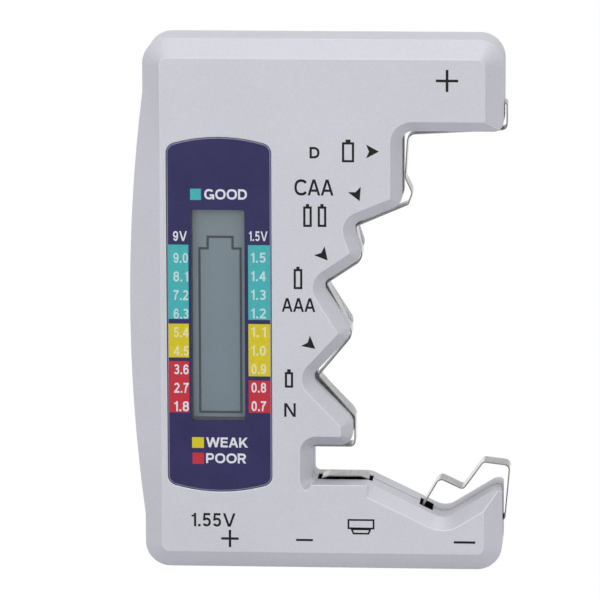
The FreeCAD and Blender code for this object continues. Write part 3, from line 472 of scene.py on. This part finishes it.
def silver_plastic():
    """Moulded plastic with a silver pigment: fine flakes, slow clouds of shade, painted highlights on edges.

    The two halves meet at y = 0. A painted shadow, a dark line as wide as the seam, runs round every wall
    just behind it. A painted highlight pales an edge where the eased normal leans away from the true one.
    """
    flake_size, cloud_size, grain_size = 0.2, 24.0, 0.35
    highlight_radius, round_edge = 0.2, 0.3
    material, tree, shader, place = new_material("silver_plastic", Metallic=0.2, Specular_IOR_Level=0.5)
    cells = {"Vector": place, "Scale": 1 / (flake_size * MM)}
    flake = add(tree, "ShaderNodeTexVoronoi", cells).outputs["Color"]
    flake = add(tree, "ShaderNodeSeparateColor", {"Color": flake}).outputs["Red"]
    cloud = noise(tree, place, cloud_size, detail=2.0)
    grain = noise(tree, place, grain_size, detail=4.0)
    body = shades(tree, cloud, [(0.3, tone(210, 210, 219)), (0.7, tone(214, 214, 223))])
    speck = shades(tree, flake, [(0.0, tone(247, 247, 248)), (1.0, tone(255, 255, 255))])
    body = mixed(tree, 1.0, body, speck, "MULTIPLY")
    depth = add(tree, "ShaderNodeSeparateXYZ", {"Vector": place}).outputs["Y"]
    off_seam = math_node(tree, "ABSOLUTE", math_node(tree, "SUBTRACT", depth, SEAM / 2 * MM))
    # Painted shadow: the seam's dark line just behind y = 0
    shadow = between(tree, off_seam, 1.0, 0.0, start=SEAM * 0.4 * MM, stop=SEAM * 0.6 * MM)
    body = mixed(tree, shadow, body, tone(62, 62, 66))
    true = add(tree, "ShaderNodeNewGeometry").outputs["True Normal"]
    normals = {0: eased_normal(tree, highlight_radius), 1: true}
    lean = add(tree, "ShaderNodeVectorMath", normals, operation="DOT_PRODUCT").outputs["Value"]
    # Painted highlight: edges turn pale where the eased normal leans away from the true one
    edge_highlight = between(tree, lean, 0.9, 0.0, start=0.95, stop=0.998)
    body = mixed(tree, edge_highlight, body, tone(250, 250, 254))
    tree.links.new(body, shader.inputs["Base Color"])
    tree.links.new(between(tree, grain, 0.44, 0.52), shader.inputs["Roughness"])
    rounded = eased_normal(tree, round_edge)
    normal = rough_normal(tree, grain, strength=0.3, depth=0.006, normal=rounded)
    tree.links.new(normal, shader.inputs["Normal"])
    return material


def contact_nickel():
    """Nickel-plated strip with fine lines along it.

    Rolled faces are bright, with a painted shade on those that look up and not to the left. The sheared
    edges are darker, and faces that look down are the darkest, a painted shade.
    """
    line_size, cloud_size, round_edge = 0.16, 3.0, 0.07
    material, tree, shader, place = new_material("contact_nickel", Metallic=1.0)
    lines = noise(tree, place, line_size, detail=4.0, stretch=(1.0, 0.05, 1.0))
    cloud = noise(tree, place, cloud_size)
    rounded = eased_normal(tree, round_edge, samples=6)
    across, depth, up = add(tree, "ShaderNodeSeparateXYZ", {"Vector": rounded}).outputs
    sheared = between(tree, math_node(tree, "ABSOLUTE", depth), 0.0, 1.0, start=0.6, stop=0.85)
    upward = between(tree, up, 0.0, 1.0, start=0.1, stop=0.6)
    outward = between(tree, across, 0.0, 1.0, start=-0.5, stop=-0.1)
    # Painted shade: faces that look up and not to the left are darker
    upward_shade = math_node(tree, "MULTIPLY", upward, outward)
    bright = shades(tree, lines, [(0.3, tone(206, 206, 206)), (0.7, tone(228, 228, 228))])
    upward_shade_tone = shades(tree, lines, [(0.3, tone(124, 123, 123)), (0.7, tone(160, 159, 159))])
    cut = shades(tree, cloud, [(0.3, tone(112, 111, 111)), (0.7, tone(136, 135, 135))])
    face = mixed(tree, sheared, mixed(tree, upward_shade, bright, upward_shade_tone), cut)
    # Painted shade: faces that look down are the darkest
    under = between(tree, up, 1.0, 0.0, start=-0.7, stop=-0.25)
    tree.links.new(mixed(tree, under, face, tone(70, 69, 69)), shader.inputs["Base Color"])
    tree.links.new(between(tree, cloud, 0.22, 0.34), shader.inputs["Roughness"])
    normal = rough_normal(tree, lines, strength=0.5, depth=0.004, normal=rounded)
    tree.links.new(normal, shader.inputs["Normal"])
    return material


def printed_acrylic():
    """Window plastic printed indigo from behind, with a painted highlight: a pale line where its eased edge
    turns from the front.

    The edge's faces are those whose normal has a share of y between a wall's, 0, and the front's, 1.
    """
    cloud_size = 5.0
    material, tree, shader, place = new_material("printed_acrylic", Specular_IOR_Level=0.22)
    cloud = noise(tree, place, cloud_size)
    body = shades(tree, cloud, [(0.3, tone(46, 43, 92)), (0.7, tone(52, 49, 98))])
    normal = add(tree, "ShaderNodeNewGeometry").outputs["Normal"]
    depth = add(tree, "ShaderNodeSeparateXYZ", {"Vector": normal}).outputs["Y"]
    depth = math_node(tree, "ABSOLUTE", depth)
    off_wall = between(tree, depth, 0.0, 1.0, start=0.2, stop=0.35)
    off_front = between(tree, depth, 1.0, 0.0, start=0.94, stop=0.99)
    edge = math_node(tree, "MULTIPLY", off_wall, off_front)
    # Painted highlight: the eased edge's faces turn pale
    tree.links.new(mixed(tree, edge, body, tone(150, 150, 182)), shader.inputs["Base Color"])
    tree.links.new(between(tree, cloud, 0.24, 0.32), shader.inputs["Roughness"])
    return material


def polarizer_film():
    """The face of a reflective gauge: grey-green, paler towards the top, with a fine satin grain."""
    grain_size, low, high = 0.5, 28.0, 69.0
    material, tree, shader, place = new_material("polarizer_film", Specular_IOR_Level=0.2)
    height = add(tree, "ShaderNodeSeparateXYZ", {"Vector": place}).outputs["Z"]
    climb = between(tree, height, 0.0, 1.0, start=low * MM, stop=high * MM)
    grain = noise(tree, place, grain_size, detail=4.0)
    field = shades(tree, climb, [
        (0.0, tone(128, 144, 155)), (0.6, tone(131, 148, 158)), (1.0, tone(138, 153, 159)),
    ])
    speck = shades(tree, grain, [(0.3, tone(246, 246, 246)), (0.7, tone(255, 255, 255))])
    tree.links.new(mixed(tree, 1.0, field, speck, "MULTIPLY"), shader.inputs["Base Color"])
    tree.links.new(between(tree, grain, 0.34, 0.46), shader.inputs["Roughness"])
    return material


def clear_acrylic():
    """Clear window plastic: nearly nothing of its own colour, with a polish that the light finds."""
    haze_size = 6.0
    material, tree, shader, place = new_material("clear_acrylic", Alpha=0.03, IOR=1.49)
    haze = noise(tree, place, haze_size)
    body = shades(tree, haze, [(0.3, tone(216, 220, 224)), (0.7, tone(230, 233, 236))])
    tree.links.new(body, shader.inputs["Base Color"])
    tree.links.new(between(tree, haze, 0.06, 0.12), shader.inputs["Roughness"])
    return material


def ink(name, colour, spread=0.05):
    """Screen-printed ink: slightly uneven in shade and gloss."""
    dark = tuple(channel * (1 - spread) for channel in colour[:3]) + (1.0,)
    light = tuple(min(channel * (1 + spread), 1.0) for channel in colour[:3]) + (1.0,)
    return grained(name, dark, light, size=0.6, rough=(0.40, 0.50), Specular_IOR_Level=0.2)


FINISHES = {
    "case_silver": silver_plastic(),
    "contact_nickel": contact_nickel(),
    "polarizer": polarizer_film(),
    "window_indigo": printed_acrylic(),
    "tape_black": grained("tape_black", tone(20, 20, 22), tone(30, 30, 33),
                          size=0.6, rough=(0.55, 0.7), bump=0.01),
    "frame_white": grained("frame_white", tone(214, 213, 208), tone(224, 223, 219),
                           size=2.0, rough=(0.4, 0.5), bump=0.004),
    "gauge_glass": grained("gauge_glass", tone(148, 160, 160), tone(158, 170, 170),
                           size=8.0, rough=(0.05, 0.09), IOR=1.5),
    "reflector": grained("reflector", tone(170, 174, 172), tone(190, 194, 192),
                         size=0.4, rough=(0.3, 0.4), Metallic=0.8),
    "zebra_rubber": grained("zebra_rubber", tone(58, 58, 60), tone(150, 150, 148),
                            size=0.12, rough=(0.6, 0.75), stretch=(1.0, 0.02, 0.02)),
    "board_green": grained("board_green", tone(24, 78, 46), tone(34, 98, 58),
                           size=1.4, rough=(0.3, 0.42), bump=0.01),
    "epoxy_black": grained("epoxy_black", tone(20, 20, 21), tone(32, 32, 33),
                           size=0.8, rough=(0.25, 0.4), bump=0.02),
    "ceramic_tan": grained("ceramic_tan", tone(160, 124, 84), tone(182, 146, 104),
                           size=0.2, rough=(0.45, 0.6), bump=0.004),
    "screw_steel": grained("screw_steel", tone(128, 128, 130), tone(162, 162, 164),
                           size=0.25, rough=(0.28, 0.42), bump=0.004, Metallic=1.0),
    "lead_red": grained("lead_red", tone(168, 28, 26), tone(190, 38, 34),
                        size=0.8, rough=(0.38, 0.5)),
    "lead_black": grained("lead_black", tone(26, 26, 28), tone(38, 38, 40),
                          size=0.8, rough=(0.38, 0.5)),
    "lead_yellow": grained("lead_yellow", tone(208, 170, 34), tone(226, 188, 48),
                           size=0.8, rough=(0.38, 0.5)),
}
for node in frame["nodes"].values():
    for holder in node.material_slots:
        holder.material = FINISHES[holder.material.name.split(".")[0]]

CLEAR = clear_acrylic()
BLACK_INK = ink("black_ink", tone(14, 14, 17), 0.15)
WHITE_INK = ink("white_ink", tone(236, 237, 246))
TEAL_INK = ink("teal_ink", tone(76, 188, 192))
YELLOW_INK = ink("yellow_ink", tone(226, 208, 44))
RED_INK = ink("red_ink", tone(206, 54, 68))
PALE_TEAL_INK = ink("pale_teal_ink", tone(206, 232, 234))
PALE_YELLOW_INK = ink("pale_yellow_ink", tone(240, 237, 192))
SEGMENT_INK = ink("segment_ink", tone(56, 66, 74))
# Painted shade: black for the dark inside the spring openings
SHADE_SLEEVE = grained("painted_shade_sleeve", tone(12, 12, 14), tone(20, 20, 22),
                       size=0.4, rough=(0.6, 0.75), Specular_IOR_Level=0.1)
# Dark grey foam, partly painted shade for the view's walls
GASKET_FOAM_AND_SHADE = grained("gasket_foam_and_shade", tone(58, 60, 70), tone(76, 79, 88),
                      size=0.3, rough=(0.7, 0.85), bump=0.02)


# The window: a printed plate with a clear pane over the gauge

PLATE = {"x": 14.3, "z": 48.4, "width": 19.4, "height": 66.9, "crown": 1.6, "corner": 1.9}
PANE = {"x": 14.07, "z": 48.3, "width": 10.0, "height": 39.9, "crown": 0.01, "corner": 0.35}
PLATE_EDGE = 0.22
SHOULDER = 0.3        # share of the edge at which it bends over

plate = barrel(**PLATE)
pane = barrel(**PANE)
eased = plate + inward(plate) * PLATE_EDGE
shoulder = plate + inward(plate) * PLATE_EDGE * SHOULDER
mask_sections = [
    at_depth(plate, WINDOW_BACK),
    at_depth(plate, WINDOW_FRONT + PLATE_EDGE),
    at_depth(shoulder, WINDOW_FRONT + PLATE_EDGE * SHOULDER),
    at_depth(eased, WINDOW_FRONT),
    at_depth(pane, WINDOW_FRONT),
    at_depth(pane, WINDOW_BACK),
]
mask = piece("window_mask", *ring(mask_sections), FINISHES["window_indigo"], "window_indigo")
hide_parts("display_window")

rim = np.arange(len(pane))
fan = np.column_stack([rim, np.roll(rim, -1), np.full(len(pane), len(pane))])
pane_shape = (np.vstack([pane, pane.mean(axis=0)]), fan)
piece("window_pane", *film(pane_shape, WINDOW_FRONT, WINDOW_BACK), CLEAR, "window_indigo")

# A foam gasket lines the view between the window and the gauge, with a flange behind the window.
# Its dark grey is partly painted shade: it darkens the view's walls where shade falls.
VIEW = {"x": 14.45, "z": 48.6, "width": 10.9, "height": 40.1, "crown": 0.01, "corner": 0.3}
GASKET_WALL = 0.2
FLANGE_REACH = 0.4
FLANGE_FRONT = WINDOW_BACK + 0.02
FLANGE_BACK = WINDOW_BACK + 0.13
GASKET_BACK = GAUGE_FRONT - 0.01

view = barrel(**VIEW)
lining = view + inward(view) * GASKET_WALL
flange = view - inward(view) * FLANGE_REACH
gasket_sections = [
    at_depth(flange, FLANGE_FRONT),
    at_depth(lining, FLANGE_FRONT),
    at_depth(lining, GASKET_BACK),
    at_depth(view, GASKET_BACK),
    at_depth(view, FLANGE_BACK),
    at_depth(flange, FLANGE_BACK),
]
piece("gauge_gasket", *ring(gasket_sections), GASKET_FOAM_AND_SHADE, "tape_black")

# Gauge: the outline of a cell, drawn by the segments
SEGMENT_LINE = 0.46
cell = [
    (10.47, 29.64), (18.18, 29.64), (18.18, 60.68), (16.68, 60.68),
    (16.68, 62.87), (12.03, 62.87), (12.03, 60.68), (10.47, 60.68),
]
symbol = together([outline(cell, SEGMENT_LINE)])
piece("gauge_symbol", *film(symbol, GAUGE_FRONT - INK, GAUGE_FRONT), SEGMENT_INK, "polarizer")

# Print on the window: two scales in three bands, and their key
LEFT_BAND = (4.78, 8.6)
RIGHT_BAND = (19.72, 23.82)
SCALE_ROWS = 9
SCALE_PITCH = 3.515
DIGIT = {"width": 2.75, "height": 1.9, "line": 0.175}
UNIT_LINE = 0.17
KEY_LINE = 0.2


def on_window(name, shapes, finish, layer=1):
    """Print on the window's front, a layer of ink above what is under it."""
    level = WINDOW_FRONT - INK * layer
    piece(name, *film(together(shapes), level, level + INK), finish, "window_indigo")


def colour_band(name, left, right, square, finish):
    """One colour of both scales, from the heights of its two blocks, and the square of its key."""
    on_window(name, [block(*LEFT_BAND, *left), block(*RIGHT_BAND, *right), block(*square)], finish)


def scale(x, top, first, less):
    """Numbers down the window from the first, each less than the one above."""
    return [
        lettering(f"{first - less * row:.1f}", x, top - SCALE_PITCH * row, **DIGIT)
        for row in range(SCALE_ROWS)
    ]


colour_band("print_teal", (47.64, 61.68), (47.6, 61.7), (8.99, 11.02, 70.1, 72.22), TEAL_INK)
colour_band("print_yellow", (40.34, 46.75), (36.9, 46.8), (9.06, 11.29, 23.15, 25.2), YELLOW_INK)
colour_band("print_red", (29.89, 39.64), (29.95, 36.1), (9.13, 11.28, 20.1, 22.24), RED_INK)
block_scale = scale(7.15, 59.18, 9.0, 0.9)
cell_scale = scale(21.62, 59.36, 1.5, 0.1)
on_window("digits_on_teal", block_scale[:4] + cell_scale[:4], PALE_TEAL_INK, 2)
on_window("digits_on_yellow", block_scale[4:6] + cell_scale[4:7], PALE_YELLOW_INK, 2)
on_window("digits_on_red", block_scale[6:] + cell_scale[7:], WHITE_INK, 2)
on_window("print_key", [
    lettering("9V", 7.05, 63.3, width=2.6, height=1.85, line=UNIT_LINE),
    lettering("1.5V", 21.64, 63.4, width=3.45, height=1.85, line=UNIT_LINE),
    lettering("GOOD", 15.6, 71.2, width=7.95, height=1.95, line=KEY_LINE, gap=0.1),
    lettering("WEAK", 15.62, 24.25, width=7.85, height=1.9, line=KEY_LINE, gap=0.08),
    lettering("POOR", 15.42, 21.22, width=7.5, height=1.9, line=KEY_LINE, gap=0.1),
], WHITE_INK)


# Marks on the case

CELL_LINE = 0.42
BUTTON_LINE = 0.34
ARROW_LENGTH = 2.4
ARROW_SPAN = 2.6
ARROW_NOTCH = 0.55


def bar(x, z, width, height):
    """A filled bar about its middle."""
    return block(x - width / 2, x + width / 2, z - height / 2, z + height / 2)


def plus(x, z, width, line):
    """A plus sign as a level bar and two short upright bars that meet it."""
    arm = (width - line) / 2
    offset = (arm + line) / 2
    return [bar(x, z, width, line), bar(x, z + offset, line, arm), bar(x, z - offset, line, arm)]


def cell_mark(x, z, width, height, knob_width, knob_height):
    """A standing cell as a line drawing about its middle: an open rectangle with a filled knob on top."""
    low, high = z - (height + knob_height) / 2, z + (height - knob_height) / 2
    inset = CELL_LINE / 2
    left, right = x - width / 2 + inset, x + width / 2 - inset
    loop = [(left, low + inset), (right, low + inset), (right, high - inset), (left, high - inset)]
    return [outline(loop, CELL_LINE), bar(x, high + knob_height / 2, knob_width, knob_height)]


def arrowhead(x, z, heading):
    """A filled arrowhead with its tip at (x, z): two wings one length back, and a notch between them."""
    ahead = np.array([math.cos(math.radians(heading)), math.sin(math.radians(heading))])
    aside = np.array([-ahead[1], ahead[0]]) * ARROW_SPAN / 2
    back = np.array([x, z]) - ahead * ARROW_LENGTH
    points = np.array([(x, z), back + aside, back + ahead * ARROW_NOTCH, back - aside])
    return points, np.array([[0, 1, 2], [0, 2, 3]])


button_can = [(38.35, 8.15), (43.05, 8.15), (43.05, 9.75), (38.35, 9.75)]
button_cap = [(39.3, 7.15), (42.1, 7.15), (42.45, 7.97), (38.95, 7.97)]
marks = [
    *plus(56.64, 92.68, width=4.1, line=0.5),
    *plus(16.09, 5.9, width=3.3, line=0.46),
    bar(30.09, 5.79, width=3.15, height=0.42),
    bar(60.08, 5.69, width=4.05, height=0.44),
    lettering("1.55V", 13.0, 9.46, width=8.3, height=2.6, line=0.165),
    lettering("D", 32.15, 79.15, width=1.85, height=2.15, line=0.2),
    *cell_mark(38.36, 79.52, width=2.25, height=3.75, knob_width=0.92, knob_height=0.5),
    arrowhead(44.09, 79.44, heading=0.0),
    lettering("C", 29.55, 72.64, width=2.3, height=3.05, line=0.165),
    lettering("AA", 33.25, 72.64, width=4.8, height=3.0, line=0.165, gap=0.03),
    *cell_mark(30.82, 67.38, width=1.6, height=3.85, knob_width=0.6, knob_height=0.45),
    *cell_mark(33.51, 67.4, width=1.6, height=3.85, knob_width=0.6, knob_height=0.45),
    arrowhead(40.51, 70.14, heading=-66.0),
    *cell_mark(29.02, 55.61, width=1.62, height=3.8, knob_width=0.62, knob_height=0.42),
    lettering("AAA", 29.1, 50.51, width=6.25, height=2.6, line=0.175, gap=0.03),
    arrowhead(34.55, 58.95, heading=-49.5),
    *cell_mark(27.28, 36.58, width=1.55, height=2.95, knob_width=0.68, knob_height=0.55),
    lettering("N", 27.45, 30.59, width=2.15, height=2.6, line=0.155),
    arrowhead(32.22, 42.24, heading=-39.5),
    outline(button_can, BUTTON_LINE),
    outline(button_cap, BUTTON_LINE),
]
piece("case_marks", *film(together(marks), FACE - INK, FACE), BLACK_INK, "case_silver")


# Black sleeves line the openings for the two springs: a painted shade for the dark inside the case

OPENING_HALF = 2.9    # half the openings' width, front to back
SLEEVE_WALL = 0.15


def sleeve_end(end, wall):
    """The four corners of one end, given as (left x, left z, right x, right z), set in by a wall."""
    left, left_z, right, right_z = end
    depth = OPENING_HALF - wall
    return [
        (left + wall, -depth, left_z), (right - wall, -depth, right_z),
        (right - wall, depth, right_z), (left + wall, depth, left_z),
    ]


def sleeve(name, top, bottom):
    """A four-sided tube between two ends, with an even wall."""
    outer = [sleeve_end(bottom, 0.0), sleeve_end(top, 0.0)]
    inner = [sleeve_end(top, SLEEVE_WALL), sleeve_end(bottom, SLEEVE_WALL)]
    piece(name, *ring(outer + inner), SHADE_SLEEVE, "tape_black")


sleeve("leaf_opening_shade", top=(32.15, 16.1, 42.55, 15.8), bottom=(32.15, 13.3, 42.55, 13.3))
sleeve("leg_opening_shade", top=(51.38, 11.74, 53.88, 10.53), bottom=(48.78, 7.3, 51.98, 7.3))


# Floor, light and camera, in metres

FLOOR_REACH = 2.0
FLOOR_LINES = 9
FLOOR_LEVEL = -0.00005
FLOOR_CLOUD = 120.0   # in mm
FLOOR_GLOW = 0.94     # share of the floor that shows plain white; the rest keeps the shadow
FLOOR_WHITE = 1.04
SKY_WHITE = 1.02
CENTRE = (0.0, 0.0, 0.05)
WHITE = (1, 1, 1, 1)


def seen_straight(tree):
    """One for rays from the camera, gloss and glass, and zero for rays that only carry light."""
    rays = add(tree, "ShaderNodeLightPath").outputs
    seen = math_node(tree, "MAXIMUM", rays["Is Camera Ray"], rays["Is Glossy Ray"])
    return math_node(tree, "MAXIMUM", seen, rays["Is Transmission Ray"])


def floor():
    """A level grid under the base that shows white to the camera and keeps a soft share of the shadow."""
    span = np.linspace(-FLOOR_REACH, FLOOR_REACH, FLOOR_LINES)
    x, y = np.meshgrid(span, span, indexing="ij")
    points = np.column_stack([x.ravel(), y.ravel(), np.full(x.size, FLOOR_LEVEL)])
    index = np.arange(x.size).reshape(x.shape)
    corners = [index[:-1, :-1], index[1:, :-1], index[1:, 1:], index[:-1, 1:]]
    faces = np.stack(corners, axis=-1).reshape(-1, 4)
    mesh = bpy.data.meshes.new("floor")
    mesh.from_pydata(points.tolist(), [], faces.tolist())
    thing = bpy.data.objects.new("floor", mesh)
    bpy.context.scene.collection.objects.link(thing)
    material, tree, shader, place = new_material("floor_white", Roughness=0.8, Specular_IOR_Level=0.1)
    cloud = noise(tree, place, FLOOR_CLOUD)
    body = shades(tree, cloud, [(0.3, tone(190, 190, 191)), (0.7, tone(198, 198, 198))])
    tree.links.new(body, shader.inputs["Base Color"])
    white = {"Color": WHITE, "Strength": FLOOR_WHITE}
    glow = add(tree, "ShaderNodeEmission", white).outputs["Emission"]
    share = math_node(tree, "MULTIPLY", seen_straight(tree), FLOOR_GLOW)
    blend = add(tree, "ShaderNodeMixShader", {0: share, 1: shader.outputs[0], 2: glow}).outputs[0]
    tree.links.new(blend, tree.nodes["Material Output"].inputs["Surface"])
    mesh.materials.append(material)


def world(strength):
    """Even light all round; the camera, gloss and glass see a white background."""
    sky = bpy.data.worlds.new("studio")
    sky.use_nodes = True
    tree = sky.node_tree
    light = tree.nodes["Background"]
    light.inputs["Color"].default_value = WHITE
    light.inputs["Strength"].default_value = strength
    white = add(tree, "ShaderNodeBackground", {"Color": WHITE, "Strength": SKY_WHITE}).outputs[0]
    sources = {0: seen_straight(tree), 1: light.outputs[0], 2: white}
    blend = add(tree, "ShaderNodeMixShader", sources).outputs[0]
    tree.links.new(blend, tree.nodes["World Output"].inputs["Surface"])
    bpy.context.scene.world = sky


def lamp(name, place, size, power):
    """A square soft box that faces the centre of the part."""
    light = bpy.data.lights.new(name, "AREA")
    light.size = size
    light.energy = power
    holder = bpy.data.objects.new(name, light)
    holder.location = place
    holder.rotation_euler = (Vector(CENTRE) - Vector(place)).to_track_quat("-Z", "Y").to_euler()
    bpy.context.scene.collection.objects.link(holder)


def camera(azimuth, elevation, roll, distance, aim, lens):
    """A camera at an azimuth a and elevation e about its aim, turned about its line of sight by the roll.

    The way back from the aim is (sin a cos e, -cos a cos e, sin e).
    """
    around, above, tilt = np.radians([azimuth, elevation, roll])
    back = np.array([
        math.sin(around) * math.cos(above), -math.cos(around) * math.cos(above), math.sin(above),
    ])
    across = np.array([math.cos(around), math.sin(around), 0.0])
    upright = np.cross(back, across)
    right = across * math.cos(tilt) + upright * math.sin(tilt)
    over = upright * math.cos(tilt) - across * math.sin(tilt)
    data = bpy.data.cameras.new("camera")
    data.lens = lens
    data.sensor_width = 36.0
    holder = bpy.data.objects.new("camera", data)
    turn = np.eye(4)
    turn[:3, :3] = np.column_stack([right, over, back])
    turn[:3, 3] = np.array(aim) + back * distance
    holder.matrix_world = Matrix(turn.tolist())
    bpy.context.scene.collection.objects.link(holder)
    bpy.context.scene.camera = holder


floor()
world(strength=0.48)
lamp("key_light", (-0.25, -0.95, 0.4), size=0.9, power=3.1)
lamp("fill_light", (0.3, -0.95, 0.1), size=0.5, power=1.1)
lamp("top_light", (0.15, -0.15, 0.95), size=0.6, power=2.0)
camera(azimuth=3.961, elevation=10.143, roll=-0.169, distance=1.0, aim=(-0.004658, -0.0005, 0.05006),
       lens=320.3)
bpy.context.scene.view_settings.view_transform = "Standard"
